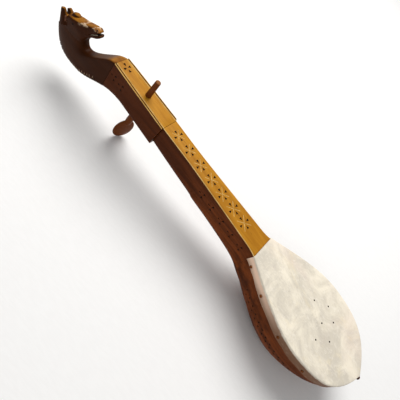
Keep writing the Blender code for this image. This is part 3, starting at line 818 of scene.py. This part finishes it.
def slanted(front_y, front_z, back_y, back_z, half, power, count):
    """A section between a front point and a back point of the side view."""
    a, b = Vector((0, front_y, front_z)), Vector((0, back_y, back_z))
    middle, reach = (a + b) / 2, (a - b) / 2
    points = []
    for i in range(count):
        t = 2 * math.pi * i / count
        c, s = math.cos(t), math.sin(t)
        x = math.copysign(abs(s) ** (2 / power), s) * half
        share = math.copysign(abs(c) ** (2 / power), c)
        points.append(tuple(middle + reach * share + Vector((x, 0, 0))))
    return points


def mane_cuts():
    """V cuts over the mane: one across the back, one over each back corner."""
    rows = smooth_rows(CREST, 6)[12:56]
    lengths = [0.0]
    for a, b in zip(rows, rows[1:]):
        lengths.append(lengths[-1] + math.dist(a[2:4], b[2:4]))
    found = []
    for k in range(NOTCHES):
        s = lengths[-1] * (k + 0.5) / NOTCHES
        i = max(j for j in range(len(rows) - 1) if lengths[j] <= s)
        front, back = Vector((0, *rows[i][:2])), Vector((0, *rows[i][2:4]))
        along = (Vector((0, *rows[i + 1][2:4])) - back).normalized()
        across = Vector((9.0, 0, 0))
        inward = Vector((0, -along.z, along.y)) - along * 0.3
        found.append(blade(back - across, back + across, inward, 2.3, 1.5, 2.4))
        middle, reach = (front + back) / 2, (back - front) / 2
        for side in (-1, 1):
            corner = middle + reach * CORNER_SHARE + Vector((side * rows[i][4] * CORNER_SHARE, 0, 0))
            inward = Vector((-side, 0, 0)) - reach.normalized() * 0.8
            slant = inward.cross(along).normalized() * 6.5
            found.append(blade(corner - slant, corner + slant, inward, 1.5, 1.8, 2.3))
    return found


def make_head():
    rows = smooth_rows([s + (p,) for s, p in zip(CREST, CREST_SQUARE)], 4)
    head = make("horse_wood", loft([slanted(*row, 40) for row in rows]), HEAD_WOOD)
    face = smooth_rows(FACE, 4)
    cut(head, loft([slanted(*row, 4.0, 36) for row in face]), operation="UNION")
    front = Vector(EAR_FRONT)
    for base, tip in EARS:
        cut(head, leaf_cone(base, tip, front, *EAR_SIZE, EAR_TOP), operation="UNION")
    turn = Matrix.Rotation(math.radians(FORELOCK_TURN), 4, "X")
    cut(head, ball(FORELOCK, FORELOCK_SIZE, turn), operation="UNION")
    for side in (-1, 1):
        for (x, y, z), size in (BROWS, MUZZLE):
            cut(head, ball((side * x, y, z), size), operation="UNION")
    melt(head, 0.8, 0.4, 2)
    for base, tip in EARS:
        a, b = Vector(base) + front * 7.0, Vector(tip) + front * 0.8
        cut(head, leaf_cone(a.lerp(b, 0.20), a.lerp(b, 0.90), front, *EAR_HOLLOW), EAR_PINK)
    for side in (-1, 1):
        for (x, y, z), size in (EYES, NOSTRILS):
            cut(head, ball((side * x, y, z), size), PIT_PAINTED_SHADE)
    across = Vector((14.0, 0, 0))
    half = MOUTH_LONG * math.tan(math.radians(MOUTH_HALF_ANGLE))
    cut(head, blade(
        MOUTH_CORNER - across, MOUTH_CORNER + across, MOUTH_CORNER - MOUTH_LIPS, 0.0, MOUTH_LONG, half,
    ), PIT_PAINTED_SHADE)
    # The mane's cuts take the painted highlight.
    cut(head, joined(mane_cuts()), MANE_PAINTED_HIGHLIGHT, crossing=True)
    return finish_piece(head, "instrument", "horse_head", angle=45)


def make_teeth():
    """A thin toothed strip along each side of the lower jaw, inside the mouth."""
    pieces = []
    way = (MOUTH_LIPS - MOUTH_CORNER).normalized()
    up = Vector((0, way.z, -way.y))
    for side in (-1, 1):
        for k in range(6):
            along, half = 6.0 + 2.1 * k, 7.4 - 0.42 * k
            centre = MOUTH_CORNER + way * along - up * (0.05 * along + 0.2)
            centre += Vector((side * (half - 1.0), 0, 0))
            pieces.append(ball(centre, (0.9, 1.15, 1.0), None, 10, 8))
    return finish_piece(make("teeth", joined(pieces), TEETH), "instrument")


# ---------------------------------------------------------------- skin, pins, peg, button

def rim_normal(y, side):
    lean = (value(RIM, y + 1.5) - value(RIM, y - 1.5)) / 3
    return Vector((side, -lean, 0)).normalized()


def belly_loop():
    """The skin's edge from the front: its points, and the way out from each, none on the neck edge."""
    right = [(w, y) for y, w in outline(48)]
    rim = right + [(-w, y) for w, y in reversed(right[:-1])]
    ways = []
    for i, (x, y) in enumerate(rim):
        before = rim[i - 1] if 0 < i else (x - 0.4, 1.0)
        after = rim[i + 1] if i + 1 < len(rim) else (x + 0.4, 1.0)
        along = Vector((after[0] - before[0], after[1] - before[1], 0)).normalized()
        ways.append(Vector((-along.y, along.x, 0)))
    neck_edge = [
        (-NECK_END_HALF + 2 * NECK_END_HALF * (i + 1) / (EDGE_POINTS + 1), 0.0)
        for i in range(EDGE_POINTS)
    ]
    return rim + neck_edge, ways + [Vector((0, 0, 0))] * EDGE_POINTS


def belly_row(loop, share):
    """A ring of the belly, this share of the way out from the middle, sagging and a little uneven."""
    row = []
    for x, y in loop:
        p = Vector((0, SKIN_MIDDLE_Y, 0)).lerp(Vector((x, y, 0)), share)
        sag = -SAG * (1 - share * share)
        lift = wobble(p.x, p.y, 0, 26.0, 0.28) + wobble(p.x, p.y, 9, 9.0, 0.10)
        row.append((p.x, p.y, SKIN_OUT + (sag + lift) * min(1.0, (1 - share) * 6)))
    return row


def fold_row(loop, ways, share, drop):
    row = []
    for (x, y), way in zip(loop, ways):
        p = Vector((x, y, 0)) + way * (SKIN_OUT - FOLD * (1 - share))
        row.append((p.x, p.y, SKIN_OUT + (drop if way.length else 0.0)))
    return row


def skirt_row(loop, ways, k):
    """A wavy ring of the skirt, flared near its foot; None along the neck edge, which has no skirt."""
    row = []
    for i, ((x, y), way) in enumerate(zip(loop, ways)):
        if not way.length:
            row.append(None)
            continue
        uneven = wobble(x, y, 3, 17.0, 1.6) * min(1.0, depth(y) / 40)
        deep = min(value(SKIRT, y), band(y) - SKIRT_CLEAR) + uneven
        z = SKIN_OUT - FOLD - (deep + SKIN_OUT - FOLD) * k / SKIRT_ROWS
        flare = 0.25 * max(0.0, k - 4) * (1 + wobble(x, y, 5, 8.0, 1.2))
        gather = wobble(x, y, 2, 5.0, 0.35) * k / SKIRT_ROWS
        at_end = i in (0, len(loop) - EDGE_POINTS - 1)
        shift = 1.2 * k / SKIRT_ROWS if at_end else 0.0
        row.append(Vector((x, y + shift, z)) + way * (SKIN_OUT + flare * 0.35 + abs(gather) * 0.6))
    return row


def make_skin():
    """Rings from the middle out to the rim, round the fold and down the skirt."""
    loop, ways = belly_loop()
    rings = [belly_row(loop, share) for share in TOP_SHARES]
    rings += [fold_row(loop, ways, share, drop) for share, drop in FOLD_ROWS]
    rings += [skirt_row(loop, ways, k) for k in range(1, SKIRT_ROWS + 1)]
    bm = bmesh.new()
    rows = [[None if point is None else bm.verts.new(point) for point in row] for row in rings]
    hub = bm.verts.new((0, SKIN_MIDDLE_Y, SKIN_OUT - SAG))
    count = len(loop)
    for i in range(count):
        bm.faces.new((hub, rows[0][i], rows[0][(i + 1) % count]))
    for a, b in zip(rows, rows[1:]):
        for i in range(count):
            j = (i + 1) % count
            corners = (a[i], b[i], b[j], a[j])
            if None not in corners:
                bm.faces.new(corners)
    area = sum(face.calc_area() for face in bm.faces) * MM * MM
    skin = make("skin_rawhide", bm, RAWHIDE)
    if skin.data.polygons[0].normal.z < 0:
        skin.data.flip_normals()
    solid = skin.modifiers.new("thick", "SOLIDIFY")
    solid.thickness = SKIN_THICK
    solid.offset = -1.0
    solid.use_even_offset = False
    settle(skin)
    cut(skin, joined([rod(1.45, 1.45, (x, y, -2.0), (x, y, 4.0), 16) for x, y in HOLES]), PIT_PAINTED_SHADE)
    finish_piece(skin, "instrument", "skin", angle=50)
    return skin


def make_pins():
    for side, word in ((-1, "left"), (1, "right")):
        for i, y in enumerate(PIN_Y):
            away = rim_normal(y, side)
            seat = Vector((side * value(RIM, y), y, PIN_Z)) + away * (2 * GAP + SKIN_THICK + 0.3)
            head = turned((
                (0.0, -3.2), (1.2, -3.2), (1.2, -0.3), (2.3, -0.3), (2.5, 0.2), (2.3, 0.8),
                (1.5, 1.25), (0.0, 1.35),
            ), 20)
            turn = away.to_track_quat("Z", "Y").to_matrix().to_4x4()
            pin = make(f"pin_head_{word}_{i + 1}", moved(head, Matrix.Translation(seat) @ turn), PEG_WOOD)
            finish_piece(pin, "instrument", f"pin_{word}_{i + 1}", angle=60)


def make_peg():
    shaft = turned((
        (0.0, -80.0), (5.0, -80.0), (5.75, -72.0), (5.6, -60.0), (4.4, 33.0), (3.9, 33.8), (0.0, 34.0),
    ), 36)
    peg = make("peg_whole", moved(shaft, Matrix.Translation((0, PEG_Y, 0))), PEG_WOOD)
    turn = Matrix.Rotation(math.radians(PADDLE_TURN), 4, "Z")
    leaf = ball((0, PEG_Y, -97.0), (16.5, 4.2, 25.5), turn, 48, 32)
    cut(peg, leaf, operation="UNION")
    melt(peg, 0.9, 0.5, 3)
    return finish_piece(peg, "peg", "tuning_peg", angle=60)


def make_button():
    knob = turned((
        (0.0, -9.0), (2.0, -9.0), (2.0, -0.1), (2.8, 0.0), (3.3, 0.7), (3.4, 1.6), (3.1, 2.7),
        (2.2, 3.5), (0.0, 3.75),
    ), 28)
    place = Matrix.Translation((0, TAIL_Y - GAP - 2.0, BUTTON_Z))
    turn = Matrix.Rotation(math.radians(90), 4, "X")
    button = make("tail_knob", moved(knob, place @ turn), DARK_WOOD)
    return finish_piece(button, "instrument", "tail_button", angle=60)


# ---------------------------------------------------------------- stage

SKY_STRENGTH = 0.34
LIT_POINT = (0, 0, 0.05)
CAMERA_AT = (-0.4140, -0.01185, 0.5591)
CAMERA_BACK, CAMERA_UP = Vector((-0.63573, -0.02769, 0.77141)), Vector((0.48600, 0.76205, 0.42787))
CAMERA_LENS = 36.96


def light(name, place, size, power, colour):
    """A round soft light aimed at the object."""
    lamp = bpy.data.lights.new(name, "AREA")
    lamp.shape = "DISK"
    lamp.size = size
    lamp.energy = power
    lamp.color = colour
    obj = bpy.data.objects.new(name, lamp)
    bpy.context.scene.collection.objects.link(obj)
    obj.location = place
    obj.rotation_mode = "QUATERNION"
    obj.rotation_quaternion = (Vector(LIT_POINT) - Vector(place)).to_track_quat("-Z", "Y")


def make_stage():
    bm = bmesh.new()
    bmesh.ops.create_grid(bm, x_segments=1, y_segments=1, size=6.0)
    floor = make("floor", bm, bare("floor_white", (0.90, 0.90, 0.90), (0.88, 0.88, 0.88), 0.9))
    floor.location.z = CAD_BOX[0][2] - 0.0002
    world = bpy.context.scene.world or bpy.data.worlds.new("world")
    bpy.context.scene.world = world
    world.use_nodes = True
    sky = world.node_tree.nodes["Background"]
    sky.inputs["Color"].default_value = (1.0, 1.0, 1.0, 1.0)
    sky.inputs["Strength"].default_value = SKY_STRENGTH
    bpy.context.scene.view_settings.view_transform = "Standard"
    light("key", (0.85, 0.55, 1.60), 1.6, 38.0, (1.0, 0.985, 0.96))
    light("fill", (-1.2, -0.9, 1.1), 1.2, 4.0, (1.0, 0.97, 0.94))


def make_camera():
    back, up = CAMERA_BACK, CAMERA_UP
    right = up.cross(back)
    data = bpy.data.cameras.new("camera")
    data.sensor_width = 36.0
    data.lens = CAMERA_LENS
    camera = bpy.data.objects.new("camera", data)
    bpy.context.scene.collection.objects.link(camera)
    camera.matrix_world = Matrix.Translation(CAMERA_AT) @ Matrix((
        (right.x, up.x, back.x), (right.y, up.y, back.y), (right.z, up.z, back.z),
    )).to_4x4()
    bpy.context.scene.camera = camera


make_bowl()
make_neck()
make_block()
make_head()
make_teeth()
make_skin()
make_pins()
make_peg()
make_button()
make_stage()
make_camera()
